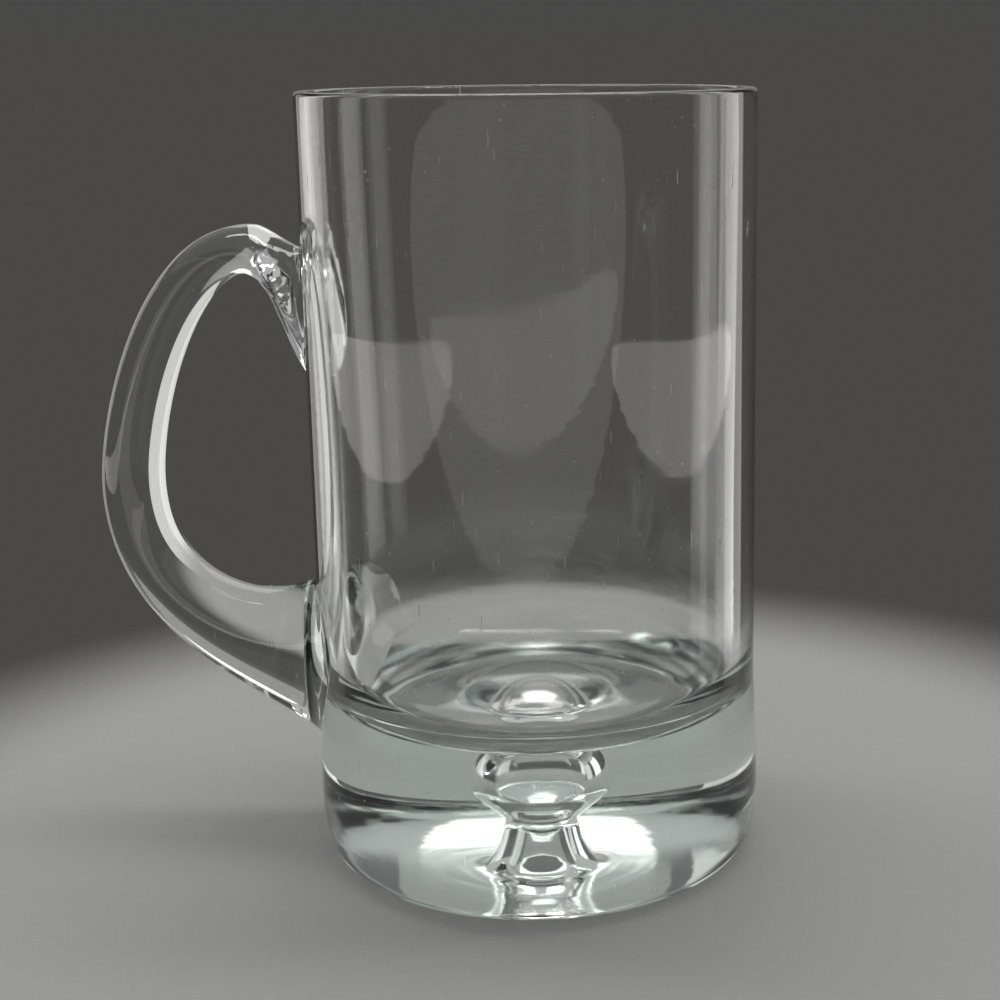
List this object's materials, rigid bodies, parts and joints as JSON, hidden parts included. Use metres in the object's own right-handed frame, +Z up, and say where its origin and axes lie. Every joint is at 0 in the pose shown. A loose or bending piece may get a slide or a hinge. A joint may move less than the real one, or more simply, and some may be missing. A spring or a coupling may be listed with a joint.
{
  "type": "glass beer mug",
  "caption": "Straight-walled clear glass tankard with a heavy solid base, an open dimple in its underside and an applied arched glass handle.",
  "frame": {"origin": "centre of the flat underside that the mug stands on, on the body's axis", "axes": "+Z up along the body's axis, handle towards -X, Y across the handle's plane"},
  "size_m": [0.1339, 0.0886, 0.15],
  "materials": {
    "body_glass": "clear, fire-polished, faintly grey-green in the thick base",
    "handle_glass": "clear, fire-polished, hand-drawn"
  },
  "bodies": {
    "root": {"body": "body_glass", "handle": "handle_glass"}
  },
  "joints": []
}
